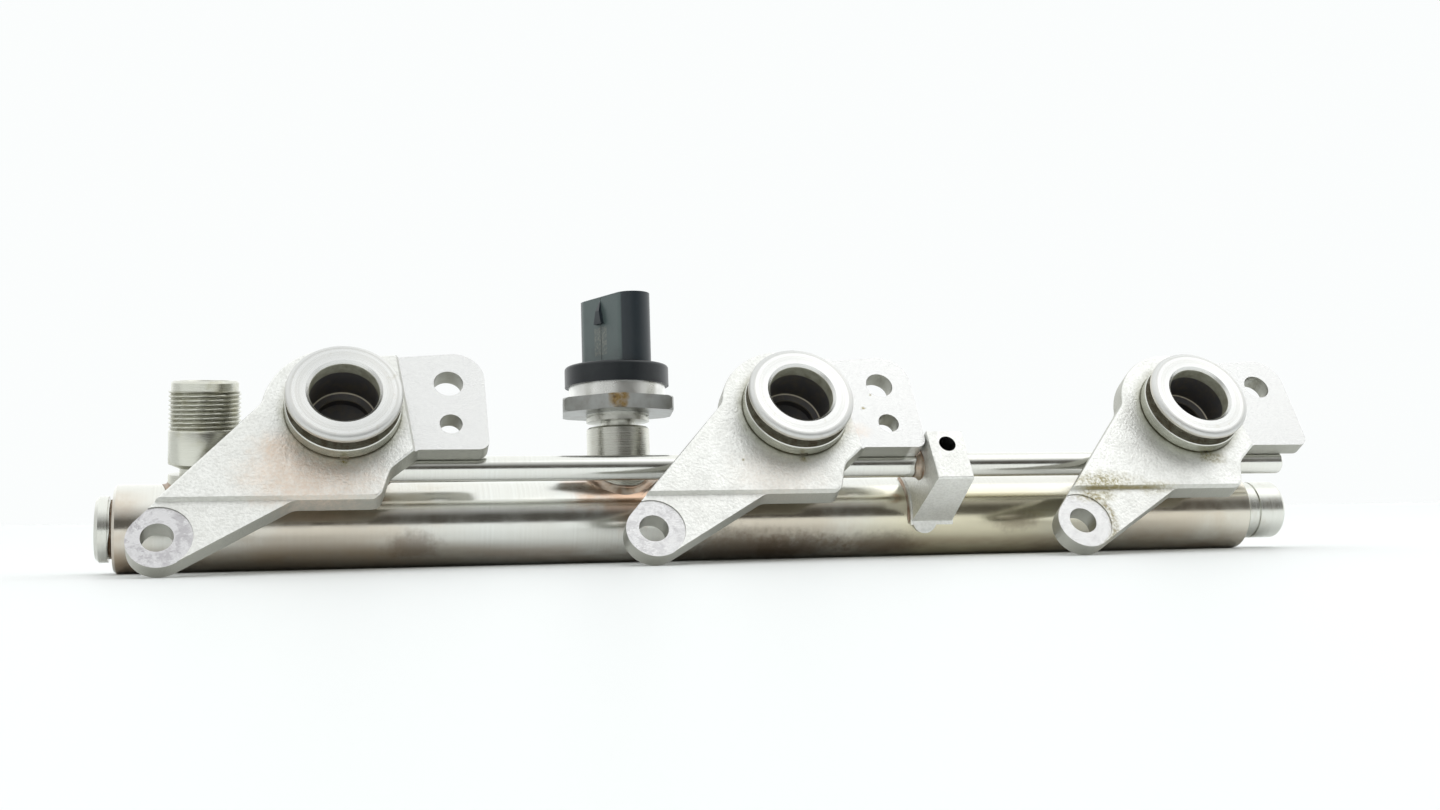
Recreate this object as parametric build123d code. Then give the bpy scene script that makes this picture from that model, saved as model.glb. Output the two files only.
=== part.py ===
from build123d import *
from math import acos, asin, atan2, cos, degrees, hypot, radians, sin, sqrt, tan
import os

# Fuel rail for one bank of three injectors, in millimetres.
# It is modelled as it lies on a bench: X runs along the rail, Z is up, and it rests
# on the underside of the rail tube and on the three bracket eyes.
# Until the last step the axis of the rail tube is the line y = 0, z = 0, and the
# axis of the first injector cup crosses x = 0.

# ---- rail tube ------------------------------------------------------------------
cup_count = 3
cup_pitch = 106.0          # from one cylinder of the engine to the next
tube_od = 20.0
tube_bore_d = 11.0
tube_left_reach = 49.3     # first cup axis to the left end of the tube
tube_right_reach = 22.2    # last cup axis to the right end of the tube
tube_end_chamfer = 0.6
fuel_port_d = 3.0          # drillings from the tube to the cups and fittings

# ---- end plugs ------------------------------------------------------------------
plug_d = 14.9
plug_spigot_length = 8.0
left_plug_rim = 2.7
left_plug_neck = 1.2
left_plug_neck_d = 13.2
left_plug_chamfer = 0.8
right_plug_length = 11.9
right_plug_seam_at = 3.8   # from the end of the tube
right_plug_seam_width = 0.7
right_plug_seam_depth = 0.35
right_plug_round = 1.0

# ---- brackets: heights are measured from the tube axis, square to the plates -------
mount_face = 26.8          # machined pads that sit on the cylinder head
plate_step = 1.3           # the web round the cup stands proud of the pads
pad_thickness = 4.6
arm_skin = 0.25            # unmachined arm above the spot face
cast_edge = 0.6            # rounding of the cast edges
step_taper = -28.0         # slope of the two milled steps, in degrees
cup_offset = 13.0          # cup axis to tube axis, seen square to the plates
plate_end_radius = 17.8    # round end of the web, about the cup axis
eye_x = -38.4
eye_s = -18.3
eye_boss_shift = (0.3, -0.5)
eye_radius = 6.7
spot_face_d = 14.6
bolt_hole_d = 6.8
bolt_hole_x = 24.0
bolt_hole_s = 21.5
dowel_hole_d = 5.2
dowel_hole_s = 10.2
dowel_brackets = (0, 1)    # the last bracket has no dowel hole
web_bottom = -9.8
web_corner_x = 7.6
web_waist = (10.0, -2.3)
web_corner_round = 2.6
web_waist_round = 5.0
arm_top_root = (-17.6, 15.4)
arm_low_root = (-10.8, -9.8)
arm_root_round = 4.0
flange_right = 32.4
flange_bottom = 3.2
flange_top = 30.6
flange_top_start = (3.0, 28.1)
flange_root_x = 16.3
flange_root_round = 1.5
flange_top_round = 7.0
flange_low_round = 2.5
flange_step_top = (13.0, 27.0)
flange_step_low = (15.7, 2.8)
mill_overrun = 30.0
mill_height = 3.0

# ---- injector cups ----------------------------------------------------------------
cup_body_d = 22.0
cup_collar_d = 25.7
cup_collar_length = 3.05
cup_groove_d = 21.2
cup_groove_length = 3.15
cup_lip_length = 1.5
cup_lip_round = 1.1
cup_edge = 0.25
cup_mouth_d = 16.8
cup_mouth_chamfer = 0.7
cup_bore_depth = 11.5
cup_seat_d = 12.6
cup_seat_chamfer = 0.9
cup_seat_depth = 14.4
cup_drill_tip = 1.6
cup_port_offset = 3.15      # fuel drilling in the cup floor, from the cup axis
cup_foot_height = 3.4      # flat foot of the cup, beside the tube axis
cup_foot_taper = 2.5
cup_notch_width = 1.9      # index notch at the foot of the collar
cup_notch_depth = 0.6
cup_notch_height = 0.9

# ---- stiffener tube --------------------------------------------------------------
stiffener_od = 5.9
stiffener_wall = 1.0
stiffener_s = 2.8
stiffener_left = -9.0      # hidden in the first cup
stiffener_right_reach = 27.0
stiffener_edge = 0.6
stiffener_cap = 2.0        # thickness of the closed end

# ---- inlet fitting -----------------------------------------------------------------
inlet_x = -30.1
inlet_lean = -6.0          # degrees back from upright
inlet_thread_d = 16.0
inlet_lead_d = 14.9
inlet_top = 33.5
inlet_lead_bottom = 31.2
inlet_lead_chamfer = 0.5
inlet_relief_top = 14.6
inlet_relief_bottom = 13.7
inlet_neck_d = 11.0
inlet_base_top = 12.3
inlet_base_round = 0.5
inlet_bore_d = 5.0
inlet_cone_d = 11.6
inlet_cone_depth = 5.8
saddle_start = 3.0         # where a saddled part starts, inside the tube

# ---- sensor boss -------------------------------------------------------------------
sensor_x = 66.6
sensor_lean = 4.0          # degrees back from upright
boss_d = 15.4
boss_top = 22.6
boss_chamfer = 0.5
boss_thread_d = 8.3
boss_thread_bottom = 13.4

# ---- pressure sensor, heights from the tube axis along the sensor axis --------------
stem_bottom = 14.0
stem_tip = 1.2
stem_channel_d = 2.0
collar_d = 15.4
collar_bottom = 24.0
collar_groove_top = 25.3
collar_groove_width = 0.4
collar_groove_d = 14.2
hex_bottom = 25.9
hex_height = 3.5
hex_af = 26.7
hex_turn = 20.5            # one corner points at the plate side of the rail
hex_trim_d = 30.4
hex_trim = 0.5
sleeve_od = 23.6
sleeve_wall = 2.2
sleeve_height = 4.0
disc_bottom = 32.7
disc_height = 5.0
disc_d = 25.5
disc_round = 0.8
seal_height = 0.9
seal_inset = 0.1
chamber_d = 18.0
chamber_top = 35.5
element_d = 6.4
element_height = 2.8
element_skin = 0.5
board_d = 17.2
board_thickness = 1.0
spring_d = 1.6
spring_bore_d = 1.0
socket_width = 8.9
socket_length = 22.4
socket_wall = 1.1
socket_top = 54.9
socket_floor = 39.3
socket_turn = 115.2        # long side of the socket, in degrees from X
pin_count = 3
pin_pitch = 4.2
pin_width = 1.5
pin_thickness = 0.64
pin_top = 46.0
latch_width = 3.0
latch_height = 3.4
latch_proud = 1.1
latch_top = 51.4
latch_side = 180.0         # on the long side that looks along the rail

# ---- support lug -------------------------------------------------------------------
lug_flange_gap = 0.25      # beyond the flange of the second bracket
lug_face_width = 9.3
lug_root_width = 10.9
lug_root_height = 5.0      # inside the tube, from its axis
lug_top = 7.0
lug_bottom = -6.6
lug_root_bottom = -7.0
lug_face_edge = 0.4
lug_foot_width = 11.2
lug_foot_wall = 1.2
lug_foot_half_angle = 43.0
lug_hole_d = 4.2
lug_hole_s = 3.3
lug_hole_floor = 0.5       # left between the hole and the stiffener tube
lug_spot_d = 11.4
lug_spot_depth = 0.15
lug_tab_d = 6.3
lug_tab_shift = -1.9       # along the rail from the middle of the lug
lug_tab_angle = 37.5       # below the direction the plates face
lug_tab_wall = 1.3

# ---- sizes that follow ---------------------------------------------------------------
tube_r = tube_od / 2
last_cup_x = cup_pitch * (cup_count - 1)
tube_left = -tube_left_reach
tube_right = last_cup_x + tube_right_reach
plate_front = mount_face + plate_step
plate_back = mount_face - pad_thickness
stiffener_r = stiffener_od / 2
stiffener_n = plate_back - stiffener_r
stiffener_right = last_cup_x + stiffener_right_reach
lug_x = cup_pitch + flange_right + lug_flange_gap + lug_face_width / 2
lug_hole_bottom = plate_back + lug_hole_floor
eye_centre = (eye_x + eye_boss_shift[0], eye_s + eye_boss_shift[1])
cup_collar_top = plate_front + cup_collar_length
cup_groove_top = cup_collar_top + cup_groove_length
cup_mouth = cup_groove_top + cup_lip_length
hex_top = hex_bottom + hex_height
sleeve_top = hex_top + sleeve_height
disc_top = disc_bottom + disc_height


def resting_tilt():
    """Turn of the plates about X that lays the eyes and the tube on one flat surface."""
    low_s = eye_centre[1] - eye_radius + cast_edge
    low_n = plate_back + cast_edge
    reach = hypot(low_s, low_n)
    return atan2(low_n, low_s) - acos((cast_edge - tube_r) / reach)


tilt = resting_tilt()
face_dir = (0, -cos(tilt), sin(tilt))


def plate_plane(x, height=0.0):
    """Plane parallel to the plates: its x runs along the rail and its y up the plate."""
    return Plane(origin=(x, 0, 0), x_dir=(1, 0, 0), z_dir=face_dir).offset(height)


def radial_location(x, lean):
    """Place of something that stands on the tube and leans back by an angle."""
    return Pos(x, 0, 0) * Rot(X=-lean)


def turned(profile):
    """Solid of revolution about Z from (radius, height) points or a sketch of them."""
    if isinstance(profile, (list, tuple)):
        profile = Polygon(*profile, align=None)
    return revolve(Plane.XZ * profile, axis=Axis.Z)


def near(shape, x, y):
    """The corner of a flat outline that is nearest to a point."""
    return shape.vertices().sort_by_distance(Vector(x, y, 0))[0]


def rod(diameter, start, end):
    """Cylinder along Z between two heights."""
    standing = (Align.CENTER, Align.CENTER, Align.MIN)
    return Pos(0, 0, start) * Cylinder(diameter / 2, end - start, align=standing)


def x_rod(diameter, start, end):
    """Cylinder along the axis of the rail tube."""
    return Rot(Y=90) * rod(diameter, start, end)


def tangent_point(centre, radius, outside, side):
    """Where a line from an outside point touches a circle, on one side of it."""
    dx = centre[0] - outside[0]
    dy = centre[1] - outside[1]
    distance = hypot(dx, dy)
    angle = atan2(dy, dx) + side * asin(radius / distance)
    run = sqrt(distance**2 - radius**2)
    return (outside[0] + run * cos(angle), outside[1] + run * sin(angle))


tube_solid = x_rod(tube_od, tube_left, tube_right)


def fuel_drilling(x):
    """Slanted drilling from the floor of a cup into the bore of the tube."""
    floor = cup_mouth - cup_seat_depth
    slant = degrees(atan2(cup_offset - cup_port_offset, floor))
    drill = rod(fuel_port_d, 0, hypot(cup_offset, floor))
    return plate_plane(x).location * Rot(X=-slant) * drill


def radial_port(x, lean, diameter):
    """Drilling from the axis of the tube out through its wall."""
    return radial_location(x, lean) * rod(diameter, 0, tube_od)


def rail_tube():
    tube = tube_solid - x_rod(tube_bore_d, tube_left, tube_right)
    rims = tube.edges().filter_by(GeomType.CIRCLE).group_by(SortBy.RADIUS)[-1]
    tube = chamfer(rims, tube_end_chamfer)
    for index in range(cup_count):
        tube -= fuel_drilling(index * cup_pitch)
    tube -= radial_port(sensor_x, sensor_lean, fuel_port_d)
    tube -= radial_port(inlet_x, inlet_lean, inlet_bore_d)
    return tube


def end_plug_left():
    spigot = (tube_bore_d / 2, -plug_spigot_length)
    neck_r = left_plug_neck_d / 2
    head = left_plug_neck + left_plug_rim
    profile = Polygon(
        (0, spigot[1]), spigot, (spigot[0], 0), (neck_r, 0), (neck_r, left_plug_neck),
        (plug_d / 2, left_plug_neck), (plug_d / 2, head), (0, head), align=None)
    profile = chamfer(near(profile, plug_d / 2, head), left_plug_chamfer)
    return Pos(tube_left, 0, 0) * Rot(Y=-90) * turned(profile)


def end_plug_right():
    spigot_r = tube_bore_d / 2
    seam_r = plug_d / 2 - right_plug_seam_depth
    seam_end = right_plug_seam_at + right_plug_seam_width
    profile = Polygon(
        (0, -plug_spigot_length), (spigot_r, -plug_spigot_length), (spigot_r, 0), (plug_d / 2, 0),
        (plug_d / 2, right_plug_seam_at), (seam_r, right_plug_seam_at), (seam_r, seam_end),
        (plug_d / 2, seam_end), (plug_d / 2, right_plug_length), (0, right_plug_length), align=None)
    profile = fillet(near(profile, plug_d / 2, right_plug_length), right_plug_round)
    return Pos(tube_right, 0, 0) * Rot(Y=90) * turned(profile)


def stiffener_rod(diameter, start, end):
    """Rod along the axis of the stiffener tube, which lies against the backs of the plates."""
    return plate_plane(0, stiffener_n).location * Pos(0, stiffener_s, 0) * x_rod(diameter, start, end)


def stiffener_tube():
    tube = stiffener_rod(stiffener_od, stiffener_left, stiffener_right)
    rims = tube.edges().filter_by(GeomType.CIRCLE)
    tube = fillet(rims, stiffener_edge)
    bore_d = stiffener_od - 2 * stiffener_wall
    return tube - stiffener_rod(bore_d, stiffener_left, stiffener_right - stiffener_cap)


def bracket_outline():
    """Outline of one bracket: round end, web, arm to the eye and bolt flange."""
    arm_top = tangent_point(eye_centre, eye_radius, arm_top_root, -1)
    arm_low = tangent_point(eye_centre, eye_radius, arm_low_root, 1)
    web = Polygon(
        arm_top_root, arm_top, eye_centre, arm_low, arm_low_root, (web_corner_x, web_bottom), web_waist,
        (flange_root_x, flange_bottom), (flange_root_x, cup_offset), (0, cup_offset), align=None)
    flange = Polygon(
        flange_top_start, (0, cup_offset), (flange_root_x, flange_bottom), (flange_right, flange_bottom),
        (flange_right, flange_top), align=None)
    flange = fillet(near(flange, flange_right, flange_top), flange_top_round)
    flange = fillet(near(flange, flange_right, flange_bottom), flange_low_round)
    outline = web + flange + Pos(0, cup_offset) * Circle(plate_end_radius)
    outline += Pos(*eye_centre) * Circle(eye_radius)
    outline = fillet(near(outline, web_corner_x, web_bottom), web_corner_round)
    outline = fillet(near(outline, *web_waist), web_waist_round)
    outline = fillet(near(outline, flange_root_x, flange_bottom), flange_root_round)
    outline = fillet(near(outline, *arm_low_root), arm_root_round)
    return fillet(near(outline, *arm_top_root), arm_root_round)


def flange_mill():
    """Cutter that leaves the bolt flange lower than the web."""
    run = (flange_step_top[0] - flange_step_low[0], flange_step_top[1] - flange_step_low[1])
    scale = mill_overrun / hypot(*run)
    high = (flange_step_top[0] + run[0] * scale, flange_step_top[1] + run[1] * scale)
    low = (flange_step_low[0] - run[0] * scale, flange_step_low[1] - run[1] * scale)
    far = flange_right + mill_overrun
    return Polygon(low, (far, low[1]), (far, high[1]), high, align=None)


def arm_mill():
    """Cutter that leaves the arm lower than the web, along the lower edge of the web."""
    left = eye_x - mill_overrun
    return Polygon((left, web_bottom), (left, eye_s - mill_overrun), (mill_overrun, eye_s - mill_overrun),
                   (mill_overrun, web_bottom), align=None)


def bracket(index):
    x = index * cup_pitch
    web = extrude(bracket_outline(), plate_front - plate_back)
    flats = web.faces().sort_by(Axis.Z)
    web = fillet(flats[0].edges() + flats[-1].edges(), cast_edge)
    pad = mount_face - plate_back
    web -= Pos(0, 0, pad) * extrude(flange_mill(), mill_height, taper=step_taper)
    web -= Pos(0, 0, pad + arm_skin) * extrude(arm_mill(), mill_height, taper=step_taper)
    web -= Pos(eye_x, eye_s, pad) * rod(spot_face_d, 0, plate_step)
    web -= Pos(0, cup_offset, 0) * rod(cup_body_d, 0, plate_front)
    web -= Pos(eye_x, eye_s, 0) * rod(bolt_hole_d, 0, plate_front)
    web -= Pos(bolt_hole_x, bolt_hole_s, 0) * rod(bolt_hole_d, 0, plate_front)
    if index in dowel_brackets:
        web -= Pos(bolt_hole_x, dowel_hole_s, 0) * rod(dowel_hole_d, 0, plate_front)
    return plate_plane(x, plate_back).location * web


def injector_cup(index):
    x = index * cup_pitch
    body_r = cup_body_d / 2
    collar_r = cup_collar_d / 2
    groove_r = cup_groove_d / 2
    foot = cup_foot_height
    outside = Polygon(
        (0, foot), (body_r - cup_foot_taper, foot), (body_r, foot + cup_foot_taper), (body_r, plate_front),
        (collar_r, plate_front), (collar_r, cup_collar_top), (groove_r, cup_collar_top),
        (groove_r, cup_groove_top), (collar_r, cup_groove_top), (collar_r, cup_mouth), (0, cup_mouth),
        align=None)
    outside = fillet(near(outside, collar_r, cup_mouth), cup_lip_round)
    outside = chamfer(near(outside, collar_r, cup_collar_top), cup_edge)
    mouth_r = cup_mouth_d / 2
    bore_r = mouth_r - cup_mouth_chamfer
    seat_r = cup_seat_d / 2
    bore_end = cup_mouth - cup_bore_depth
    seat_end = cup_mouth - cup_seat_depth
    inside = [
        (0, seat_end - cup_drill_tip), (seat_r, seat_end), (seat_r, bore_end - cup_seat_chamfer),
        (bore_r, bore_end), (bore_r, cup_mouth - cup_mouth_chamfer), (mouth_r, cup_mouth), (0, cup_mouth)]
    notch_at = (0, -collar_r + cup_notch_depth / 2, plate_front + cup_notch_height / 2)
    notch = Pos(*notch_at) * Box(cup_notch_width, cup_notch_depth, cup_notch_height)
    cup = turned(outside) - turned(inside) - notch
    cup = plate_plane(x).location * Pos(0, cup_offset, 0) * cup
    passing_tube = stiffener_rod(stiffener_od, -cup_pitch, last_cup_x + cup_pitch)
    return cup - tube_solid - passing_tube - fuel_drilling(x)


def inlet_fitting():
    thread_r = inlet_thread_d / 2
    lead_r = inlet_lead_d / 2
    neck_r = inlet_neck_d / 2
    outside = Polygon(
        (0, saddle_start), (thread_r, saddle_start), (thread_r, inlet_base_top), (neck_r, inlet_base_top),
        (neck_r, inlet_relief_bottom), (thread_r, inlet_relief_top), (thread_r, inlet_lead_bottom),
        (lead_r, inlet_lead_bottom), (lead_r, inlet_top), (0, inlet_top), align=None)
    outside = chamfer(near(outside, lead_r, inlet_top), inlet_lead_chamfer)
    outside = fillet(near(outside, thread_r, inlet_base_top), inlet_base_round)
    bore_r = inlet_bore_d / 2
    inside = [
        (0, 0), (bore_r, 0), (bore_r, inlet_top - inlet_cone_depth), (inlet_cone_d / 2, inlet_top),
        (0, inlet_top)]
    fitting = turned(outside) - turned(inside)
    return radial_location(inlet_x, inlet_lean) * fitting - tube_solid


def sensor_boss():
    boss = rod(boss_d, saddle_start, boss_top)
    rim = boss.edges().filter_by(GeomType.CIRCLE).sort_by(Axis.Z)[-1]
    boss = chamfer(rim, boss_chamfer)
    boss -= rod(boss_thread_d, boss_thread_bottom, boss_top)
    boss -= rod(fuel_port_d, 0, boss_thread_bottom)
    return radial_location(sensor_x, sensor_lean) * boss - tube_solid


def sensor_body():
    """Threaded stem, sealing collar and hexagon, in one turned and milled piece."""
    stem_r = boss_thread_d / 2
    collar_r = collar_d / 2
    groove_r = collar_groove_d / 2
    groove_bottom = collar_groove_top - collar_groove_width
    stem = turned([
        (0, stem_bottom), (stem_r - stem_tip, stem_bottom), (stem_r, stem_bottom + stem_tip),
        (stem_r, collar_bottom), (collar_r, collar_bottom), (collar_r, groove_bottom),
        (groove_r, groove_bottom), (groove_r, collar_groove_top), (collar_r, collar_groove_top),
        (collar_r, hex_bottom), (0, hex_bottom)])
    hexagon = extrude(RegularPolygon(hex_af / 2, 6, major_radius=False, rotation=hex_turn), hex_height)
    trim_r = hex_trim_d / 2
    trim = turned([
        (0, 0), (trim_r - hex_trim, 0), (trim_r, hex_trim), (trim_r, hex_height - hex_trim),
        (trim_r - hex_trim, hex_height), (0, hex_height)])
    body = stem + Pos(0, 0, hex_bottom) * (hexagon & trim)
    return body - rod(stem_channel_d, stem_bottom, hex_top)


def sensor_element():
    """Pressure cell: a steel cap with a thin skin over the pressure channel."""
    cell = rod(element_d, hex_top, hex_top + element_height)
    return cell - rod(stem_channel_d, hex_top, hex_top + element_height - element_skin)


def sensor_sleeve():
    bore_d = sleeve_od - 2 * sleeve_wall
    return rod(sleeve_od, hex_top, sleeve_top) - rod(bore_d, hex_top, sleeve_top)


def sensor_seal():
    outer_d = sleeve_od - 2 * seal_inset
    inner_d = sleeve_od - 2 * sleeve_wall + 2 * seal_inset
    top = sleeve_top + seal_height
    return rod(outer_d, sleeve_top, top) - rod(inner_d, sleeve_top, top)


def sensor_circuit_board():
    bottom = hex_top + element_height
    return rod(board_d, bottom, bottom + board_thickness)


def pin_places():
    """Places of the contacts, in a row along the socket."""
    middle = (pin_count - 1) / 2
    return [Rot(Z=socket_turn) * Pos((index - middle) * pin_pitch, 0, 0) for index in range(pin_count)]


def sensor_contact_springs():
    bottom = hex_top + element_height + board_thickness
    spring = rod(spring_d, bottom, chamber_top) - rod(spring_bore_d, bottom, chamber_top)
    return Part() + [place * spring for place in pin_places()]


def pin_shape():
    height = pin_top - chamber_top
    return Pos(0, 0, chamber_top) * Box(
        pin_width, pin_thickness, height, align=(Align.CENTER, Align.CENTER, Align.MIN))


def sensor_terminals():
    return Part() + [place * pin_shape() for place in pin_places()]


def socket_prism(shrink, start, end):
    """Round-ended prism that follows the socket, smaller than its outside by a wall."""
    width = socket_width - 2 * shrink
    centre_distance = socket_length - socket_width
    outline = SlotCenterToCenter(centre_distance, width, rotation=socket_turn)
    return Pos(0, 0, start) * extrude(outline, end - start)


def latch_nose():
    """Wedge on the long side of the socket that holds the plug."""
    half = latch_width / 2
    low = latch_top - latch_height
    wedge = Polygon((0, latch_top), (-half, low), (half, low), align=None)
    nose = extrude(Plane.XZ * wedge, socket_width / 2 + latch_proud)
    return Rot(Z=socket_turn + latch_side) * nose


def sensor_housing():
    disc = rod(disc_d, disc_bottom, disc_top)
    rim = disc.edges().filter_by(GeomType.CIRCLE).sort_by(Axis.Z)[-1]
    disc = fillet(rim, disc_round)
    housing = disc + socket_prism(0, disc_top, socket_top) + latch_nose()
    housing -= socket_prism(socket_wall, socket_floor, socket_top)
    housing -= rod(chamber_d, disc_bottom, chamber_top)
    housing -= rod(sleeve_od, disc_bottom, sleeve_top + seal_height)
    housing -= [place * pin_shape() for place in pin_places()]
    return housing


def support_lug():
    """Block with a tapped hole that stands on the tube on a saddle foot."""
    face = Plane.XY.offset(plate_front) * Pos(0, (lug_top + lug_bottom) / 2) * Rectangle(
        lug_face_width, lug_top - lug_bottom)
    root = Plane.XY.offset(lug_root_height) * Pos(0, (lug_top + lug_root_bottom) / 2) * Rectangle(
        lug_root_width, lug_top - lug_root_bottom)
    block = loft([root, face])
    block = fillet(block.faces().sort_by(Axis.Z)[-1].edges(), lug_face_edge)
    foot = x_rod(tube_od + 2 * lug_foot_wall, -lug_foot_width / 2, lug_foot_width / 2)
    spread = tube_od * tan(radians(lug_foot_half_angle))
    wedge = Plane.YZ * Polygon((0, 0), (spread, tube_od), (-spread, tube_od), align=None)
    foot &= Pos(-lug_foot_width / 2, 0, 0) * extrude(wedge, lug_foot_width)
    tab = Rot(X=lug_tab_angle) * rod(lug_tab_d, 0, tube_r + lug_tab_wall)
    lug = block + foot + Pos(lug_tab_shift, 0, 0) * tab
    lug -= Pos(0, lug_hole_s, 0) * rod(lug_hole_d, lug_hole_bottom, plate_front)
    lug -= Pos(0, lug_hole_s, 0) * rod(lug_spot_d, plate_front - lug_spot_depth, plate_front)
    lug = plate_plane(lug_x).location * lug
    return lug - tube_solid - stiffener_rod(stiffener_od, stiffener_left, stiffener_right)


nodes = {
    "rail_tube": rail_tube(),
    "end_plug_left": end_plug_left(),
    "end_plug_right": end_plug_right(),
    "inlet_fitting": inlet_fitting(),
    "stiffener_tube": stiffener_tube(),
    "support_lug": support_lug(),
    "sensor_boss": sensor_boss(),
}
for number in range(cup_count):
    nodes[f"bracket_{number + 1}"] = bracket(number)
    nodes[f"injector_cup_{number + 1}"] = injector_cup(number)

sensor_parts = {
    "sensor_body": sensor_body(),
    "sensor_element": sensor_element(),
    "sensor_sleeve": sensor_sleeve(),
    "sensor_seal": sensor_seal(),
    "sensor_circuit_board": sensor_circuit_board(),
    "sensor_contact_springs": sensor_contact_springs(),
    "sensor_terminals": sensor_terminals(),
    "sensor_housing": sensor_housing(),
}
for name, piece in sensor_parts.items():
    nodes[name] = radial_location(sensor_x, sensor_lean) * piece

# The origin is under the middle of the part, on the surface that it rests on.
box = Compound(children=[solid for piece in nodes.values() for solid in piece.solids()]).bounding_box()
middle = box.center()
to_origin = Pos(-middle.X, -middle.Y, -box.min.Z)
os.makedirs("parts", exist_ok=True)
for name, piece in nodes.items():
    export_step(to_origin * piece, f"parts/{name}.step")
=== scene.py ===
import math

import bmesh
import bpy
from mathutils import Matrix, Vector


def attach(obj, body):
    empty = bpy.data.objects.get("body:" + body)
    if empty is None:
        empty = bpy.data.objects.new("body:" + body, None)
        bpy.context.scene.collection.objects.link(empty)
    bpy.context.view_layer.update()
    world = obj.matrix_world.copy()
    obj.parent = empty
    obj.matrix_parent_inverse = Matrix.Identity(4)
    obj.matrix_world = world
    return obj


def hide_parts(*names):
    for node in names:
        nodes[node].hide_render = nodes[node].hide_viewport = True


# The fuel rail as it looks. Lengths are in mm unless a comment says otherwise. x runs along the
# rail tube from the first cup, s up the bracket plates and n out of their face. A noise's scale
# is per metre on Graph.place, and per mm in a local frame.

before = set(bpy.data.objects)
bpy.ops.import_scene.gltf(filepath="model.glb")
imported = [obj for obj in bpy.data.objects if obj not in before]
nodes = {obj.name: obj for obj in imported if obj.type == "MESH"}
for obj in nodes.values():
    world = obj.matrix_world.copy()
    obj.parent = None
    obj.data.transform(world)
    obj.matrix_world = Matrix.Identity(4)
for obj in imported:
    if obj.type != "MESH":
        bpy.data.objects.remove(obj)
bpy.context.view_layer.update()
scene = bpy.context.scene

# ---- the part's own sizes and places -------------------------------------------------------
MM = 0.001                                      # in the row frame's metres
AXIS_SHIFT = Vector((-96.45, 9.5629, 10.0))     # tube axis at x = 0, in the row frame
TILT = math.radians(31.3548)                    # plates lean back from upright
FACE = Vector((0.0, -math.cos(TILT), math.sin(TILT)))
UP = Vector((0.0, math.sin(TILT), math.cos(TILT)))
X_AXIS = Vector((1, 0, 0))
Y_AXIS = Vector((0, 1, 0))
Z_AXIS = Vector((0, 0, 1))

TUBE_R = 10.0
TUBE_BORE_R = 5.5
TUBE_CHAMFER = 0.6
TUBE_LEFT = -49.3
TUBE_RIGHT = 234.2
PORT_R = 1.5             # drillings to the cups and the sensor

CUPS = (0.0, 106.0, 212.0)
CUP_S = 13.0             # cup axis
CUP_BODY_R = 11.0
CUP_FLOOR = 21.4         # n of the floor inside the cup
CUP_PORT = 3.15          # the cup's drilling enters its floor this far below the cup axis

PLATE_FRONT = 28.1
PLATE_BACK = 22.2
MOUNT_FACE = 26.8        # milled pads
EYE = (-38.4, -18.3)     # bolt eye, in x and s from the tube axis at its cup

INLET_X = -30.1
INLET_LEAN = -6.0        # degrees back from upright, so this one leans forward
INLET_BORE_R = 2.5
FITTING_R = 8.0
THREAD_PITCH = 1.0
THREAD_DEPTH = 0.58
THREAD_LOW = 21.9        # height above the tube axis
THREAD_HIGH = 31.2

SENSOR_X = 66.6
SENSOR_LEAN = 4.0
BOSS_R = 7.7
HEX_BOTTOM = 25.9
SOCKET_SIDE = 295.2      # turn of the socket's latch side, in degrees
SOCKET_WALL = -4.4       # the latch side's outer wall, in the socket's frame

LUG_X = 143.3
LUG_HOLE_S = 3.3
STIFF_S = 2.8            # stiffener tube
STIFF_N = 19.25
STIFF_R = 2.95

SUNK = 0.3               # how far a braze run reaches into the metal it joins
SKIN = 0.01              # how far its thin edge stands proud of the metal
BRAZE_LIMIT = 9.5        # furthest its foot goes from the tube's middle line
FULL_TURN = (0.0, 360.0)


def axes_matrix(origin, x_dir, y_dir, z_dir):
    """Matrix that carries local millimetres to the row frame in metres."""
    turn = Matrix((x_dir, y_dir, z_dir)).transposed().to_4x4()
    return Matrix.Translation((origin + AXIS_SHIFT) * MM) @ turn @ Matrix.Scale(MM, 4)


def at_plate(x, s, n):
    """Point given along the rail, up the plates and out of their face."""
    return Vector((x, 0, 0)) + UP * s + FACE * n


def plate_frame(x, s=0.0, n=0.0):
    """Local x along the rail, y up the plate, z out of its face."""
    return axes_matrix(at_plate(x, s, n), X_AXIS, UP, FACE)


def radial_frame(x, lean):
    """Local z stands on the tube and leans back by some degrees."""
    angle = math.radians(lean)
    up = Vector((0, math.sin(angle), math.cos(angle)))
    back = Vector((0, math.cos(angle), -math.sin(angle)))
    return axes_matrix(Vector((x, 0, 0)), X_AXIS, back, up)


def tube_frame(x, flip=False):
    """Local z along the tube: to the right, or to the left where it is flipped."""
    origin = Vector((x, 0, 0))
    if flip:
        return axes_matrix(origin, Z_AXIS, Y_AXIS, Vector((-1, 0, 0)))
    return axes_matrix(origin, Y_AXIS, Z_AXIS, X_AXIS)


SOCKET_TURN = Matrix.Rotation(math.radians(SOCKET_SIDE), 4, "Z")
SOCKET_FRAME = radial_frame(SENSOR_X, SENSOR_LEAN) @ SOCKET_TURN


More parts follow.
